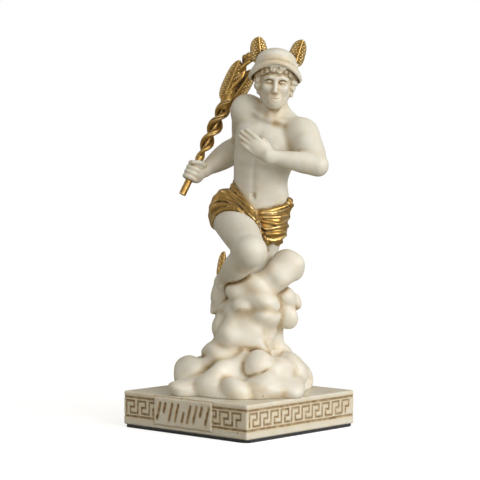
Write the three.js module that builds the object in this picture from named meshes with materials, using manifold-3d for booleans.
// A small cast-resin figurine of a winged messenger god running over clouds, on a square plinth.
// Millimetres, +Z up. The origin is the middle of the felt's underside, and the plinth's sides lie along
// X and Y.
// The figure is laid out in a frame of its own: x to its left hand, y to its back, z up. That frame is then
// turned on the plinth, so that the figure looks out over one corner.
import * as THREE from "three";
import { mergeVertices } from "three/addons/utils/BufferGeometryUtils.js";
import Module from "manifold-3d";

const wasm = await Module();
wasm.setup();

// Plinth, felt and the gap between glued pieces
const PLINTH_SIDE = 38.4;
const PLINTH_TOP = 8.55;
const FELT_THICKNESS = 0.7;
const GLUE_GAP = 0.3;
const CORNER_RADIUS = 0.35;
const EDGE_BEVEL = 0.35;
const FELT_INSET = 0.1;
const FELT_CORNER_CUT = 1.2;

// Key frieze: two border grooves and a running key between them
const GROOVE_WIDTH = 0.42;
const GROOVE_DEPTH = 0.35;
const BORDER_LOW = 2.75;
const BORDER_HIGH = 7.2;
const KEY_LOW = 3.55;
const KEY_HIGH = 6.4;
const KEY_REPEATS = 10;
const KEYED_FACES = 2;
const KEY_MARGIN = 0.9;

// Plaque on the plinth's front face, with a row of plain strokes
const PLAQUE_LEFT = -9.1;
const PLAQUE_RIGHT = 8.7;
const PLAQUE_LOW = 1.7;
const PLAQUE_HIGH = 8.0;
const PLAQUE_PROUD = 0.35;
const STROKE_COUNT = 9;
const STROKE_SLANT = 16;

// How far the figure is turned on the plinth, in degrees
const FIGURE_TURN = 41.3;

// Joints of the body, in the figure's frame
const NECK_BASE = [7.5, 5.2, 71.6];
const NECK_TOP = [8.0, 3.8, 77.6];
const HEAD = [7.9, 2.5, 81.3];
const HAT = [7.8, 2.7, 82.5];
const SHOULDER_R = [1.4, 8.0, 74.2];
const SHOULDER_L = [14.8, 1.0, 69.2];
const ELBOW_R = [0.5, 17.0, 64.7];
const ELBOW_L = [17.7, -5.4, 61.5];
const WRIST_R = [-8.6, 9.4, 60.0];
const WRIST_L = [6.3, -6.4, 63.6];
const KNUCKLES_L = [2.9, -4.8, 66.3];
const FIST_R = [-11.5, 8.0, 59.8];
const HIP_R = [-1.3, 3.0, 49.6];
const HIP_L = [7.2, 6.0, 48.0];
const KNEE_R = [1.9, -15.0, 41.3];
const KNEE_L = [3.6, 14.0, 34.0];
const ANKLE_R = [-4.0, 1.0, 34.2];
const ANKLE_L = [2.6, 18.0, 21.5];
const TOE_R = [-4.6, 4.6, 28.2];
const TOE_L = [3.2, 19.4, 14.5];

// Herald's staff, from its lower end to its knob
const STAFF_FOOT = [-13.9, 7.0, 54.1];
const STAFF_TOP = [1.9, 13.2, 87.4];
const STAFF_RADIUS = 0.85;
const STAFF_CLEARANCE = 0.3;
const SNAKE_REACH = 1.65;
const SNAKE_TURNS = 1.9;

const IVORY = { color: 0xe9e2d0, roughness: 0.55, metalness: 0 };
const GOLD = { color: 0xb8862f, roughness: 0.3, metalness: 1 };
const FELT = { color: 0x16161a, roughness: 1, metalness: 0 };

const radians = THREE.MathUtils.degToRad;
const point = (p) => new THREE.Vector3(...p);

// Solids: a closed three.js geometry becomes something that can be joined and cut
function solid(geometry) {
  const bare = geometry.clone();
  bare.deleteAttribute("normal");
  bare.deleteAttribute("uv");
  const merged = mergeVertices(bare, 1e-4);
  const corners = merged.index.array;
  const triangles = [];
  for (let i = 0; i < corners.length; i += 3) {
    const [a, b, c] = corners.slice(i, i + 3);
    if (a !== b && b !== c && c !== a) triangles.push(a, b, c);
  }
  const vertProperties = new Float32Array(merged.attributes.position.array);
  const make = () => {
    const triVerts = new Uint32Array(triangles);
    return new wasm.Manifold(new wasm.Mesh({ numProp: 3, vertProperties, triVerts }));
  };
  const made = make();
  if (made.volume() > 0) return made;
  triangles.reverse();
  return make();
}

const join = (solids) => solids.reduce((whole, next) => whole.add(next));

function geometryOf(made) {
  const mesh = made.getMesh();
  const geometry = new THREE.BufferGeometry();
  geometry.setAttribute("position", new THREE.BufferAttribute(new Float32Array(mesh.vertProperties), 3));
  geometry.setIndex(new THREE.BufferAttribute(new Uint32Array(mesh.triVerts), 1));
  const flat = geometry.toNonIndexed();
  flat.computeVertexNormals();
  return flat;
}

// A local frame: x to the figure's left, y to its back, z up, tipped by degrees
function frame(at, pitch = 0, roll = 0, yaw = 0) {
  const turn = new THREE.Euler(radians(pitch), radians(roll), radians(yaw), "ZYX");
  return new THREE.Matrix4().makeRotationFromEuler(turn).setPosition(point(at));
}

// A frame whose z axis runs from one point to another, with its x axis near the given side
function frameAlong(from, to, side = [1, 0, 0]) {
  const z = point(to).sub(point(from)).normalize();
  const y = new THREE.Vector3().crossVectors(z, point(side)).normalize();
  const x = new THREE.Vector3().crossVectors(y, z);
  return new THREE.Matrix4().makeBasis(x, y, z).setPosition(point(from));
}

const STAFF_PLACE = frameAlong(STAFF_FOOT, STAFF_TOP);
const STAFF_LENGTH = point(STAFF_FOOT).distanceTo(point(STAFF_TOP));

function ball(at, radii, place = new THREE.Matrix4(), sides = 12, rings = 8) {
  const geometry = new THREE.SphereGeometry(1, sides, rings);
  geometry.rotateX(Math.PI / 2);
  geometry.scale(...radii);
  geometry.translate(...at);
  return solid(geometry.applyMatrix4(place));
}

// A limb between two joints: a turned profile with round ends. The radii stand at equal steps along it,
// and squash flattens it along the frame's y axis.
function limb(from, to, radii, sides = 10, squash = 1, side = [1, 0, 0]) {
  const length = point(from).distanceTo(point(to));
  const first = radii[0];
  const last = radii[radii.length - 1];
  const profile = [new THREE.Vector2(0, -first)];
  profile.push(new THREE.Vector2(first * 0.72, -first * 0.7));
  radii.forEach((r, i) => profile.push(new THREE.Vector2(r, (length * i) / (radii.length - 1))));
  profile.push(new THREE.Vector2(last * 0.72, length + last * 0.7));
  profile.push(new THREE.Vector2(0, length + last));
  const geometry = new THREE.LatheGeometry(profile, sides);
  geometry.rotateX(Math.PI / 2);
  geometry.scale(1, squash, 1);
  return solid(geometry.applyMatrix4(frameAlong(from, to, side)));
}

// A closed skin: the rings of a sphere, each moved to where place(angle, ring) puts it. The first and the
// last ring are one point each.
function skin(rings, sides, place) {
  const geometry = new THREE.SphereGeometry(1, sides, rings - 1);
  const spots = geometry.attributes.position;
  for (let i = 0; i < spots.count; i += 1) {
    const ring = rings - 1 - Math.floor(i / (sides + 1));
    const angle = ((i % (sides + 1)) % sides) * ((2 * Math.PI) / sides);
    spots.setXYZ(i, ...place(angle, ring).toArray());
  }
  return solid(geometry);
}

// A row of numbers part way down a table, on smooth curves through the rows
function smoothRow(rows, share) {
  const place = share * (rows.length - 1);
  const i = Math.min(Math.floor(place), rows.length - 2);
  const t = place - i;
  const row = (k) => rows[Math.max(0, Math.min(rows.length - 1, k))];
  return rows[i].map((_, n) => {
    const [a, b, c, d] = [row(i - 1)[n], row(i)[n], row(i + 1)[n], row(i + 2)[n]];
    return b + 0.5 * t * (c - a + t * (2 * a - 5 * b + 4 * c - d + t * (3 * (b - c) + d - a)));
  });
}

// How far a set of rounded bumps lifts a spot. Each bump is a middle, a spread and a height.
function lift(spot, bumps) {
  let height = 0;
  for (const [middle, spread, up] of bumps) {
    const away = spot.distanceTo(point(middle)) / spread;
    height += up * Math.exp(-0.5 * away * away);
  }
  return height;
}

// A roll of cloth, a finger or a snake: a round section swept along a smooth curve through points
function roll(points, radius, steps, sides = 6) {
  const section = new THREE.Shape();
  for (let i = 0; i < sides; i += 1) {
    const angle = (2 * Math.PI * i) / sides;
    section[i ? "lineTo" : "moveTo"](radius * Math.cos(angle), radius * Math.sin(angle));
  }
  const path = new THREE.CatmullRomCurve3(points.map(point));
  return solid(new THREE.ExtrudeGeometry(section, { steps, extrudePath: path }));
}

// Plinth

function plinthBlock() {
  const half = PLINTH_SIDE / 2 - EDGE_BEVEL;
  const straight = half - CORNER_RADIUS;
  const outline = new THREE.Shape();
  outline.absarc(straight, straight, CORNER_RADIUS, 0, Math.PI / 2);
  outline.absarc(-straight, straight, CORNER_RADIUS, Math.PI / 2, Math.PI);
  outline.absarc(-straight, -straight, CORNER_RADIUS, Math.PI, 1.5 * Math.PI);
  outline.absarc(straight, -straight, CORNER_RADIUS, 1.5 * Math.PI, 2 * Math.PI);
  const geometry = new THREE.ExtrudeGeometry(outline, {
    depth: PLINTH_TOP - FELT_THICKNESS - 2 * EDGE_BEVEL,
    curveSegments: 2,
    bevelThickness: EDGE_BEVEL,
    bevelSize: EDGE_BEVEL,
    bevelSegments: 2,
  });
  geometry.translate(0, 0, FELT_THICKNESS + EDGE_BEVEL);
  return solid(geometry);
}

// One repeat of the key, as fractions of its width and height
const KEY_PATH = [[0, 0], [0, 1], [0.68, 1], [0.68, 0.5], [0.34, 0.5], [0.34, 0]];

// The key's groove on the face at -Y, as one bar that is cut out of the plinth. Its outline follows the
// path on both sides, half a groove's width away, and each corner is square.
function keyBar() {
  const from = -PLINTH_SIDE / 2 + KEY_MARGIN;
  const width = (PLINTH_SIDE - 2 * KEY_MARGIN) / KEY_REPEATS;
  const spots = [];
  for (let n = 0; n < KEY_REPEATS; n += 1) {
    for (const [u, v] of KEY_PATH) {
      spots.push(new THREE.Vector2(from + (n + u) * width, KEY_LOW + v * (KEY_HIGH - KEY_LOW)));
    }
  }
  const left = [];
  const right = [];
  spots.forEach((spot, i) => {
    const before = spot.clone().sub(spots[Math.max(i - 1, 0)]).normalize();
    const after = spots[Math.min(i + 1, spots.length - 1)].clone().sub(spot).normalize();
    const offset = new THREE.Vector2(-before.y - after.y, before.x + after.x);
    offset.multiplyScalar(GROOVE_WIDTH / 2);
    left.push(spot.clone().add(offset));
    right.unshift(spot.clone().sub(offset));
  });
  const outline = new THREE.Shape([...left, ...right]);
  const bar = new THREE.ExtrudeGeometry(outline, { depth: 2 * GROOVE_DEPTH, bevelEnabled: false });
  bar.rotateX(Math.PI / 2);
  bar.translate(0, -PLINTH_SIDE / 2 + GROOVE_DEPTH, 0);
  return bar;
}

function borderBar(z) {
  const bar = new THREE.BoxGeometry(PLINTH_SIDE - CORNER_RADIUS, 2 * GROOVE_DEPTH, GROOVE_WIDTH);
  bar.translate(0, -PLINTH_SIDE / 2, z);
  return bar;
}

function plaque() {
  const width = PLAQUE_RIGHT - PLAQUE_LEFT;
  const height = PLAQUE_HIGH - PLAQUE_LOW;
  const middle = [(PLAQUE_LEFT + PLAQUE_RIGHT) / 2, -PLINTH_SIDE / 2, (PLAQUE_LOW + PLAQUE_HIGH) / 2];
  const slab = new THREE.BoxGeometry(width, 2 * PLAQUE_PROUD, height);
  slab.translate(...middle);
  const strokes = [];
  for (let n = 0; n < STROKE_COUNT; n += 1) {
    const tall = height * (n % 3 === 1 ? 0.3 : 0.58);
    const drop = n % 3 === 1 ? (n % 2 ? 0.14 : -0.14) * height : 0;
    const stroke = new THREE.BoxGeometry(GROOVE_WIDTH, PLAQUE_PROUD, tall);
    stroke.rotateY(radians(STROKE_SLANT));
    const x = PLAQUE_LEFT + (width * (n + 0.75)) / (STROKE_COUNT + 0.5);
    stroke.translate(x, middle[1] - PLAQUE_PROUD, middle[2] + drop);
    strokes.push(solid(stroke));
  }
  return { slab: solid(slab), strokes };
}

function plinth() {
  let block = plinthBlock();
  for (let side = 0; side < 4; side += 1) {
    const bars = [borderBar(BORDER_LOW), borderBar(BORDER_HIGH)];
    if (side < KEYED_FACES) bars.push(keyBar());
    for (const bar of bars) block = block.subtract(solid(bar.rotateZ((side * Math.PI) / 2)));
  }
  const { slab, strokes } = plaque();
  return block.add(slab).subtract(join(strokes));
}

function feltPad() {
  const half = PLINTH_SIDE / 2 - FELT_INSET;
  const cut = FELT_CORNER_CUT;
  const outline = new THREE.Shape();
  outline.moveTo(half - cut, -half);
  for (const [sx, sy] of [[1, -1], [1, 1], [-1, 1], [-1, -1]]) {
    const first = sx === sy ? [sx * half, sy * (half - cut)] : [sx * (half - cut), sy * half];
    const second = sx === sy ? [sx * (half - cut), sy * half] : [sx * half, sy * (half - cut)];
    outline.lineTo(...first);
    outline.lineTo(...second);
  }
  return solid(new THREE.ExtrudeGeometry(outline, { depth: FELT_THICKNESS, bevelEnabled: false }));
}

// Clouds: a column on a spreading base, with puffs that swell out of it

// Rows of the column: middle x and y, height, half width and half depth
const CLOUD_COLUMN = [
  [0.6, -0.6, 8.3, 15.0, 16.4],
  [0.6, -0.4, 10.5, 14.6, 15.8],
  [0.8, 0.0, 13.5, 12.6, 13.4],
  [1.2, 0.6, 17.5, 8.6, 9.8],
  [1.9, 1.0, 22, 6.6, 7.8],
  [2.6, 1.4, 27, 6.2, 7.2],
  [3.4, 1.8, 32, 6.4, 7.0],
  [4.4, 2.6, 37, 5.6, 6.2],
  [4.8, 3.4, 40.8, 3.0, 3.4],
  [5.4, 2.0, 42.2, 1.0, 1.2],
];

// Puffs: a middle and three radii
const PUFFS = [
  [[2.2, -4.6, 22.9], [6.9, 5.4, 4.4]],
  [[3.4, -4.2, 28.4], [5.9, 5.2, 3.2]],
  [[3.0, -2.6, 32.4], [5.0, 5.0, 2.9]],
  [[11.0, -1.6, 31.2], [2.9, 3.4, 2.8]],
  [[10.9, -2.4, 26.5], [2.8, 3.4, 2.8]],
  [[13.0, -0.4, 30.2], [1.7, 2.0, 2.0]],
  [[10.7, -3.6, 37.5], [4.0, 5.0, 4.4]],
  [[5.8, -5.8, 34.8], [3.7, 3.8, 3.1]],
  [[-5.2, -3.6, 17.8], [3.1, 4.2, 3.4]],
  [[-3.3, -3.4, 24.2], [1.9, 3.0, 2.5]],
  [[-11.4, -3.6, 12.9], [4.2, 5.4, 3.7]],
  [[-11.6, -9.6, 10.4], [4.4, 4.0, 2.7]],
  [[-5.8, -12.2, 11.6], [3.4, 3.8, 3.1]],
  [[-2.8, -10.2, 14.8], [3.6, 2.6, 3.0]],
  [[-0.8, -15.2, 10.4], [3.4, 3.4, 2.7]],
  [[5.7, -14.2, 11.2], [4.4, 4.5, 3.6]],
  [[11.8, -11.0, 10.8], [3.4, 4.0, 3.0]],
  [[4.0, -10.8, 15.6], [3.5, 3.5, 3.3]],
  [[9.0, -9.4, 14.4], [3.3, 3.8, 3.4]],
  [[11.8, -3.4, 13.2], [4.0, 5.6, 4.3]],
  [[13.2, 4.6, 11.4], [3.2, 4.2, 3.0]],
];

// Rows of puffs round the back: height, distance from their middle, size, how many, first and last angle
const BACK_MIDDLE = [2, 1];
const BACK_ROWS = [
  [11.2, 12.4, 3.9, 6, 18, 184],
  [16.0, 7.2, 3.7, 4, 14, 145],
  [21.6, 4.8, 3.1, 3, 20, 150],
  [27.4, 4.8, 3.3, 3, 5, 165],
  [33.0, 3.8, 3.2, 2, 20, 160],
];

const CLOUD_RINGS = 20;
const CLOUD_SIDES = 28;
const CLOUD_BLEND = 0.45;

function allPuffs() {
  const puffs = [...PUFFS];
  BACK_ROWS.forEach(([z, distance, size, count, first, last], row) => {
    for (let n = 0; n < count; n += 1) {
      const angle = radians(first + ((last - first) * n) / (count - 1));
      const swell = size * (1 + 0.12 * Math.sin(2.1 * n + row));
      const x = BACK_MIDDLE[0] + distance * Math.cos(angle);
      const y = BACK_MIDDLE[1] + distance * Math.sin(angle);
      puffs.push([[x, y, z + 0.8 * Math.sin(3.3 * n)], [swell, swell, 0.9 * swell]]);
    }
  });
  return puffs;
}

// How far a level ray from (x, y, z) at an angle runs before it leaves a puff, or 0 where it misses
function rayOut(x, y, z, angle, [middle, radii]) {
  const level = 1 - ((z - middle[2]) / radii[2]) ** 2;
  if (level <= 0) return 0;
  const [wide, deep] = [radii[0] ** 2 * level, radii[1] ** 2 * level];
  const [dx, dy] = [Math.cos(angle), Math.sin(angle)];
  const [ox, oy] = [x - middle[0], y - middle[1]];
  const a = (dx * dx) / wide + (dy * dy) / deep;
  const b = (ox * dx) / wide + (oy * dy) / deep;
  const c = (ox * ox) / wide + (oy * oy) / deep - 1;
  const inside = b * b - a * c;
  return inside > 0 ? Math.max(0, (Math.sqrt(inside) - b) / a) : 0;
}

function clouds() {
  const puffs = allPuffs();
  return skin(CLOUD_RINGS, CLOUD_SIDES, (angle, ring) => {
    const share = ring / (CLOUD_RINGS - 1);
    const [x, y, z, wide, deep] = smoothRow(CLOUD_COLUMN, share);
    if (ring === 0) return new THREE.Vector3(x, y, z);
    if (ring === CLOUD_RINGS - 1) return new THREE.Vector3(x, y, z + 0.2);
    const column = 1 / Math.hypot(Math.cos(angle) / wide, Math.sin(angle) / deep);
    let sum = Math.exp(column / CLOUD_BLEND);
    for (const puff of puffs) sum += Math.exp(rayOut(x, y, z, angle, puff) / CLOUD_BLEND) - 1;
    const out = CLOUD_BLEND * Math.log(sum);
    return new THREE.Vector3(x + out * Math.cos(angle), y + out * Math.sin(angle), z);
  });
}

// Trunk: rows of middle x, y and z, half width, half depth, and roll and yaw in degrees
const TRUNK = [
  [4.2, 4.8, 44.6, 0, 0, 0, 0],
  [4.2, 4.8, 45.4, 4.0, 3.6, 0, 0],
  [4.4, 4.8, 48.4, 6.6, 5.0, 0, 0],
  [4.8, 4.7, 51.6, 6.9, 5.1, 0, -3],
  [4.7, 4.5, 54.8, 6.6, 4.7, 1, -8],
  [4.7, 4.4, 58.0, 6.5, 4.4, 4, -13],
  [5.1, 4.6, 61.4, 7.0, 4.7, 8, -18],
  [6.0, 4.9, 64.4, 7.8, 5.1, 13, -23],
  [6.5, 5.1, 66.8, 8.1, 5.2, 15, -25],
  [6.8, 5.2, 69.2, 7.9, 5.0, 17, -26],
  [7.4, 5.4, 71.6, 6.4, 3.9, 18, -26],
  [7.6, 5.2, 73.4, 3.4, 3.0, 15, -20],
  [7.7, 4.9, 74.6, 0, 0, 8, -10],
];

// Bumps on the trunk, for each a place across, front to back and up from the navel, a spread and a height
const TRUNK_BUMPS = [
  [[3.4, -5.4, 13.0], 2.3, 0.9], [[-3.4, -5.4, 13.0], 2.3, 0.9],
  [[1.7, -4.6, 2.8], 1.3, 0.4], [[-1.7, -4.6, 2.8], 1.3, 0.4],
  [[1.7, -4.8, 6.6], 1.2, 0.35], [[-1.7, -4.8, 6.6], 1.2, 0.35],
  [[0, -4.8, -0.2], 0.9, -0.5], [[0, -4.8, 7.0], 0.9, -0.35],
  [[3.4, 5.0, -6.5], 2.6, 1.3], [[-3.4, 5.0, -6.5], 2.6, 1.3],
  [[3.6, 5.0, 13.0], 2.3, 0.8], [[-3.6, 5.0, 13.0], 2.3, 0.8],
  [[0, 5.0, 6.0], 1.2, -0.5], [[0, 5.0, 10.0], 1.2, -0.5],
];
const NAVEL_HEIGHT = 54.2;

function trunk() {
  const sides = 16;
  return skin(TRUNK.length, sides, (angle, ring) => {
    const [x, y, z, wide, deep, tip, yaw] = TRUNK[ring];
    const [across, along] = [Math.cos(angle), Math.sin(angle)];
    const local = new THREE.Vector3(wide * across, deep * along, z - NAVEL_HEIGHT);
    const out = wide > 0 ? lift(local, TRUNK_BUMPS) : 0;
    const spot = new THREE.Vector3((wide + out) * across, (deep + out) * along, 0);
    return spot.applyMatrix4(frame([x, y, z], 0, tip, yaw));
  });
}

function shoulders() {
  return [
    limb(NECK_BASE, NECK_TOP, [3.2, 2.9], 10),
    limb([9.2, 5.4, 74.2], [14.2, 1.9, 69.9], [2.2, 2.9], 8),
    limb([6.4, 6.2, 74.6], [2.2, 8.0, 74.2], [2.3, 3.2], 8),
  ];
}

// Hands. Each is one skin with four ridges for the fingers, which lie side by side.

const FINGERS = 4;
const RIDGE = 0.2;

// Rows of the flat hand from the wrist to the fingertips: distance, half width and half thickness
const HAND_ROWS = [
  [-0.8, 0, 0],
  [-0.4, 1.3, 1.1],
  [1.2, 1.8, 1.2],
  [2.8, 2.2, 1.15],
  [4.2, 2.25, 1.0],
  [6.0, 2.2, 0.85],
  [7.8, 2.0, 0.75],
  [9.0, 1.5, 0.6],
  [9.4, 0, 0],
];

// The left hand lies flat before the chest, with its back to the front
function leftHand() {
  const place = frameAlong(WRIST_L, KNUCKLES_L, [0.54, 0, 0.84]);
  const hand = skin(HAND_ROWS.length, 16, (angle, ring) => {
    const [along, wide, thick] = HAND_ROWS[ring];
    const across = wide * Math.cos(angle);
    const finger = Math.max(0, along - 3) / 4;
    const ridge = RIDGE * Math.min(1, finger) * Math.cos((Math.PI * FINGERS * (across + wide)) / wide);
    const deep = wide > 0 ? (thick - ridge) * Math.sin(angle) : 0;
    return new THREE.Vector3(across, deep + 0.04 * Math.max(0, along - 4) ** 2, along).applyMatrix4(place);
  });
  const at = (x, y, z) => new THREE.Vector3(x, y, z).applyMatrix4(place).toArray();
  return [hand, limb(at(1.5, 0.9, 1.6), at(1.9, 1.7, 5.0), [0.8, 0.6], 6)];
}

// The right hand is a fist round the staff, with its fingers one above the other
function fist() {
  const axis = point(STAFF_TOP).sub(point(STAFF_FOOT)).normalize();
  const height = point(FIST_R).sub(point(STAFF_FOOT)).dot(axis);
  const place = STAFF_PLACE.clone().setPosition(point(STAFF_FOOT).addScaledVector(axis, height));
  const rings = 12;
  const tall = 2.6;
  const hand = skin(rings, 12, (angle, ring) => {
    const up = -Math.cos((Math.PI * ring) / (rings - 1));
    const round = Math.sqrt(1 - up ** 4) * 2.05;
    const front = Math.max(0, -Math.cos(angle - 0.6));
    const out = ring % (rings - 1) ? round + RIDGE * front * Math.cos(Math.PI * FINGERS * (up + 1)) : 0;
    const spot = new THREE.Vector3(0.3 + out * Math.cos(angle), out * Math.sin(angle), tall * up);
    return spot.applyMatrix4(place);
  });
  const at = (x, y, z) => new THREE.Vector3(x, y, z).applyMatrix4(place).toArray();
  return [hand, limb(at(1.0, -1.2, 2.0), at(-1.0, -1.6, 1.9), [0.8, 0.6], 6)];
}

function arms() {
  return [
    limb(SHOULDER_L, ELBOW_L, [3.8, 3.3, 3.0, 2.5], 8),
    limb(ELBOW_L, WRIST_L, [2.2, 2.4, 2.1, 1.7], 8),
    limb(SHOULDER_R, ELBOW_R, [3.7, 3.2, 2.9, 2.5], 8),
    limb(ELBOW_R, WRIST_R, [2.2, 3.2, 2.9, 2.0], 8),
    limb(WRIST_R, FIST_R, [1.7, 1.6], 6),
    ...leftHand(),
    ...fist(),
  ];
}

function legs() {
  return [
    limb(HIP_R, KNEE_R, [4.7, 4.6, 4.3, 3.6], 9),
    limb(KNEE_R, ANKLE_R, [3.0, 3.1, 3.1, 2.4, 1.7], 8),
    limb(HIP_L, KNEE_L, [4.4, 4.3, 3.9, 3.3], 8),
    limb(KNEE_L, ANKLE_L, [2.8, 3.1, 2.4, 1.7], 8),
    foot(ANKLE_R, TOE_R),
    foot(ANKLE_L, TOE_L),
  ];
}

// A pointed foot, thickest at its instep
function foot(ankle, toe) {
  return limb(ankle, toe, [1.4, 2.1, 2.2, 1.6], 8, 0.9);
}

// Head: a plain classical face on even thirds, short curls, and a shallow hat with a turned-down brim

const HEAD_ROLL = 4;
const HAT_PITCH = -24;
const HEAD_PLACE = frame(HEAD, 0, HEAD_ROLL);
const HAT_PLACE = frame(HAT, HAT_PITCH, HEAD_ROLL);

// Rows of the head from chin to crown: height, half width, how far it reaches to the front and to the back
const HEAD_ROWS = [
  [-6.9, 0, 2.6, -2.6],
  [-6.5, 1.5, 4.2, -0.6],
  [-5.4, 2.4, 4.5, 0.8],
  [-4.0, 3.1, 4.4, 3.6],
  [-2.4, 3.6, 4.3, 5.0],
  [-0.6, 3.9, 4.2, 5.6],
  [1.4, 4.1, 4.4, 5.8],
  [3.2, 3.9, 4.1, 5.5],
  [4.8, 3.0, 3.0, 4.2],
  [5.8, 0, 0, 0],
];

// The face: bumps and hollows, each a place, a spread and a height. Those of one side stand on the other too.
const FACE_MIDDLE = [
  [[0, -4.5, -3.0], 0.6, 1.5], [[0, -4.4, -2.1], 0.55, 0.8],
  [[0, -4.3, -1.2], 0.5, 0.6], [[0, -4.3, -0.2], 0.5, 0.5],
  [[0, -4.5, -4.3], 0.55, 0.5], [[0, -4.4, -5.1], 0.5, -0.4], [[0, -4.2, -6.1], 0.8, 0.45],
];
const FACE_SIDES = [
  [[1.6, -3.9, -0.9], 0.8, -0.85], [[1.5, -4.1, 0.5], 0.6, 0.5], [[2.3, -3.5, -2.5], 1.0, 0.35],
  [[0.75, -4.3, -4.3], 0.45, 0.35], [[0.7, -4.3, -3.1], 0.4, 0.35],
];

function head() {
  const bumps = [...FACE_MIDDLE];
  for (const [[x, y, z], spread, up] of FACE_SIDES) {
    bumps.push([[x, y, z], spread, up], [[-x, y, z], spread, up]);
  }
  const rings = 19;
  return skin(rings, 20, (angle, ring) => {
    // The corners stand closer together over the face and towards the chin
    const turn = angle - Math.PI / 2 - 0.4 * Math.sin(angle);
    const [z, wide, front, back] = smoothRow(HEAD_ROWS, (ring / (rings - 1)) ** 1.2);
    const middle = (back - front) / 2;
    const deep = (back + front) / 2;
    if (ring === 0 || ring === rings - 1) return new THREE.Vector3(0, middle, z).applyMatrix4(HEAD_PLACE);
    const local = new THREE.Vector3(wide * Math.cos(turn), middle + deep * Math.sin(turn), z);
    const out = lift(local, bumps);
    local.x += 0.3 * out * Math.cos(turn);
    local.y += out * Math.sin(turn);
    return local.applyMatrix4(HEAD_PLACE);
  });
}

// Hair: a ring of curls under the brim, a full mass at the back and a lock before each ear.
// The ring's rows give a height and a radius, and its corners stand out and in by turns.
const HAIR_RING = [[-2.3, 0], [-2.2, 4.0], [-1.6, 4.8], [-0.7, 5.1], [0.1, 4.8], [0.4, 0]];
const HAIR_SIDES = 22;
const CURL_DEPTH = 0.05;

function curls() {
  const ring = skin(HAIR_RING.length, HAIR_SIDES, (angle, row) => {
    const [z, out] = HAIR_RING[row];
    const curled = out * (1 + CURL_DEPTH * Math.cos(HAIR_SIDES * 0.5 * angle + Math.PI * row));
    const spot = new THREE.Vector3(0.95 * curled * Math.cos(angle), curled * Math.sin(angle), z);
    return spot.applyMatrix4(HAT_PLACE);
  });
  const locks = [-1, 1].map((side) => ball([side * 3.7, 0.8, -2.0], [1.1, 1.8, 2.1], HEAD_PLACE, 7, 5));
  return [ring, ...locks, ball([0, 2.4, -2.6], [4.1, 3.4, 2.6], HEAD_PLACE, 9, 5)];
}

// Half of the hat's section, from its axis under the brim to its crown
const HAT_PROFILE = [
  [0, 0.3], [4.4, 0.1], [5.8, -0.5], [6.15, -0.1], [5.2, 0.9],
  [4.85, 1.6], [4.7, 2.9], [3.9, 4.6], [2.3, 5.7], [0, 6.1],
];

function hat() {
  const geometry = new THREE.LatheGeometry(HAT_PROFILE.map(([r, z]) => new THREE.Vector2(r, z)), 16);
  geometry.rotateX(Math.PI / 2);
  return solid(geometry.applyMatrix4(HAT_PLACE));
}

// Wings: a plate whose outline is a fan of round feather tips, the first the longest. In the wing's frame z
// is its length, x the way it fans out and y its thickness.
function wing(place, length, thickness, feathers, fan) {
  const step = radians(fan) / feathers;
  const outline = new THREE.Shape();
  outline.moveTo(-0.12 * length, 0);
  outline.lineTo(-0.14 * length, 0.6 * length);
  for (let n = 0; n < feathers; n += 1) {
    const reach = length * (1 - (0.42 * n) / feathers);
    for (const [aside, part] of [[-0.35, 0.94], [0.1, 1], [0.5, 0.97], [0.8, 0.88]]) {
      const angle = (n + aside) * step;
      outline.lineTo(reach * part * Math.sin(angle), reach * part * Math.cos(angle));
    }
  }
  outline.lineTo(0.2 * length, 0);
  const plate = new THREE.ExtrudeGeometry(outline, { depth: thickness, bevelEnabled: false });
  plate.rotateX(Math.PI / 2);
  plate.translate(0, thickness / 2, 0);
  return solid(plate.applyMatrix4(place));
}

function hatWings() {
  return [
    wing(frameAlong([5.0, 4.0, 84.8], [4.2, 4.6, 91.4], [-1, 0.35, 0]), 6.6, 1.5, 3, 44),
    wing(frameAlong([12.0, 3.2, 84.6], [13.6, 3.9, 90.6], [1, 0.35, 0]), 6.3, 1.5, 3, 42),
  ];
}

function ankleWings() {
  return [
    wing(frameAlong([-4.6, 2.2, 34.8], [-4.5, 3.0, 41.0], [0, 1, 0]), 6.2, 1.4, 3, 56),
    wing(frameAlong([4.2, 18.0, 22.6], [4.6, 18.0, 28.6], [1, 0.2, 0]), 5.8, 1.2, 3, 56),
  ];
}

// Cloth: a wrap round the hips with hanging folds, a cuff over the right thigh, and thick rolls across

// Rows of the wrap: height, half width and half depth
const WRAP = [
  [44.6, 0, 0],
  [44.9, 5.6, 4.8],
  [46.4, 6.5, 5.4],
  [48.4, 6.9, 5.6],
  [50.4, 7.2, 5.6],
  [52.2, 7.4, 5.6],
  [53.4, 6.9, 5.2],
  [53.8, 0, 0],
];
const WRAP_MIDDLE = [4.6, 4.7];
const FOLD_DEPTH = 0.36;
const FOLD_SPACING = 2.1;

function wrap() {
  const rings = 13;
  return skin(rings, 16, (angle, ring) => {
    const [z, wide, deep] = smoothRow(WRAP, ring / (rings - 1));
    const [x, y] = WRAP_MIDDLE;
    if (ring === 0 || ring === rings - 1) return new THREE.Vector3(x, y, z);
    const sag = 1.7 * Math.sin(angle) - 0.3 * Math.cos(angle);
    const fold = FOLD_DEPTH * Math.sin((2 * Math.PI * (z + 0.8 * Math.sin(angle + 0.6))) / FOLD_SPACING);
    const aside = (wide + fold) * Math.cos(angle);
    const behind = (deep + fold) * Math.sin(angle);
    return new THREE.Vector3(x + aside, y + behind, z + sag);
  });
}

// Rows of the cuff along the right thigh: distance from the hip and radius
const CUFF = [
  [-3.4, 0], [-2.8, 4.8], [-1.0, 5.6], [1.0, 5.8], [2.6, 5.8],
  [4.2, 5.7], [5.6, 5.3], [6.0, 4.4], [5.8, 0],
];

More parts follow.
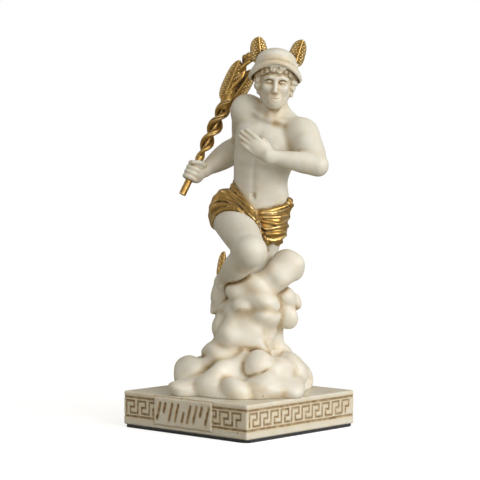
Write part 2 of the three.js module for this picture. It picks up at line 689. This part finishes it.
function cuff() {
  const place = frameAlong(HIP_R, KNEE_R);
  const rings = 9;
  return skin(rings, 12, (angle, ring) => {
    const [along, radius] = smoothRow(CUFF, ring / (rings - 1));
    const last = ring === 0 || ring === rings - 1;
    const slant = last ? 0 : (1.9 * Math.cos(angle) - 0.2) * Math.max(0, along / 6);
    const out = last ? 0 : radius + 0.28 * Math.sin(2.9 * along + 1.2 * Math.sin(angle));
    return new THREE.Vector3(out * Math.cos(angle), out * Math.sin(angle), along + slant).applyMatrix4(place);
  });
}

// The roll that runs from the back of the waist down before the right thigh, and the one behind
const BAND = [
  [-0.6, 9.5, 58.6], [-1.9, 6.2, 57.6], [-1.6, 2.2, 55.6], [0.6, -0.3, 53.2],
  [3.4, -1.3, 50.6], [5.4, -2.4, 46.6], [6.2, -3.0, 43.4],
];
const BAND_BEHIND = [
  [-0.6, 9.5, 58.2], [3.0, 10.2, 56.6], [7.6, 9.9, 54.4], [11.0, 7.0, 52.8], [11.8, 3.4, 52.0],
];

function drapery() {
  return [
    wrap(),
    cuff(),
    roll(BAND, 1.3, 9, 5),
    roll(BAND.slice(0, 5).map(([x, y, z]) => [x - 1.6, y, z - 1.6]), 1.2, 6, 5),
    ball([-0.9, 3.2, 54.6], [1.8, 2.6, 1.9], undefined, 7, 5),
    roll(BAND_BEHIND, 1.0, 5, 5),
    ball([11.2, 2.4, 51.4], [1.2, 1.8, 1.6], undefined, 7, 5),
  ];
}

// The staff with two snakes twisted round it, its wings and its knob

const SNAKES_FROM = 9.4;
const SNAKES_TO = 25.5;
const WINGS_AT = 26.5;

// The snakes as one skin, whose two lobes turn round the shaft as it rises
function snakes() {
  const rings = 18;
  return skin(rings, 8, (angle, ring) => {
    const share = ring / (rings - 1);
    const z = SNAKES_FROM + (SNAKES_TO - SNAKES_FROM) * share;
    if (ring === 0 || ring === rings - 1) return new THREE.Vector3(0, 0, z).applyMatrix4(STAFF_PLACE);
    const swell = 0.85 + 0.3 * share;
    const out = Math.max(STAFF_RADIUS + 0.1, swell * SNAKE_REACH * Math.abs(Math.cos(angle)));
    const turn = angle + share * SNAKE_TURNS * 2 * Math.PI;
    return new THREE.Vector3(out * Math.cos(turn), out * Math.sin(turn), z).applyMatrix4(STAFF_PLACE);
  });
}

function staff() {
  const at = (x, y, z) => new THREE.Vector3(x, y, z).applyMatrix4(STAFF_PLACE).toArray();
  const shaft = new THREE.CylinderGeometry(STAFF_RADIUS, STAFF_RADIUS, STAFF_LENGTH, 8);
  shaft.rotateX(Math.PI / 2);
  shaft.translate(0, 0, STAFF_LENGTH / 2);
  const root = WINGS_AT - 1.2;
  return [
    solid(shaft.applyMatrix4(STAFF_PLACE)),
    snakes(),
    limb(at(0, 0, SNAKES_TO - 0.5), at(0, 0, WINGS_AT + 1), [1.3, 1.4], 8),
    wing(frameAlong(at(-0.5, -0.3, root), at(-1.5, -0.3, WINGS_AT + 8), [-1, 0, 0.4]), 10.2, 1.6, 4, 24),
    wing(frameAlong(at(-0.2, 0.3, root), at(1.4, 0.3, WINGS_AT + 8), [1, 0, -0.4]), 9.4, 1.6, 4, 34),
    ball([0, 0, STAFF_LENGTH], [1.2, 1.2, 1.3], STAFF_PLACE, 8, 6),
  ];
}

// The space the staff needs where it goes through the fist and past the shoulder
function staffSpace() {
  const at = (z) => new THREE.Vector3(0, 0, z).applyMatrix4(STAFF_PLACE).toArray();
  const bore = STAFF_RADIUS + STAFF_CLEARANCE;
  const coil = 1.15 * SNAKE_REACH + STAFF_CLEARANCE;
  return [
    limb(at(-2), at(SNAKES_FROM), [bore, bore], 8),
    limb(at(SNAKES_FROM), at(STAFF_LENGTH), [coil, coil], 8),
  ];
}

function figure() {
  const parts = [
    clouds(), trunk(), ...shoulders(), ...arms(), ...legs(),
    head(), ...curls(), hat(), ...hatWings(), ...ankleWings(), ...drapery(),
  ];
  const under = new THREE.BoxGeometry(80, 80, 20);
  under.translate(0, 0, PLINTH_TOP + GLUE_GAP - 10);
  return join(parts).subtract(solid(under)).subtract(join(staffSpace()));
}

// The scene graph

function piece(name, made, look) {
  const mesh = new THREE.Mesh(geometryOf(made), new THREE.MeshStandardMaterial(look));
  mesh.name = name;
  return mesh;
}

const statue = new THREE.Group();
statue.add(piece("felt_pad", feltPad(), FELT));
statue.add(piece("plinth", plinth(), IVORY));

const turned = new THREE.Group();
turned.rotation.z = radians(FIGURE_TURN);
turned.add(piece("figure_on_clouds", figure(), IVORY));
turned.add(piece("caduceus", join(staff()), GOLD));
statue.add(turned);

export default statue;
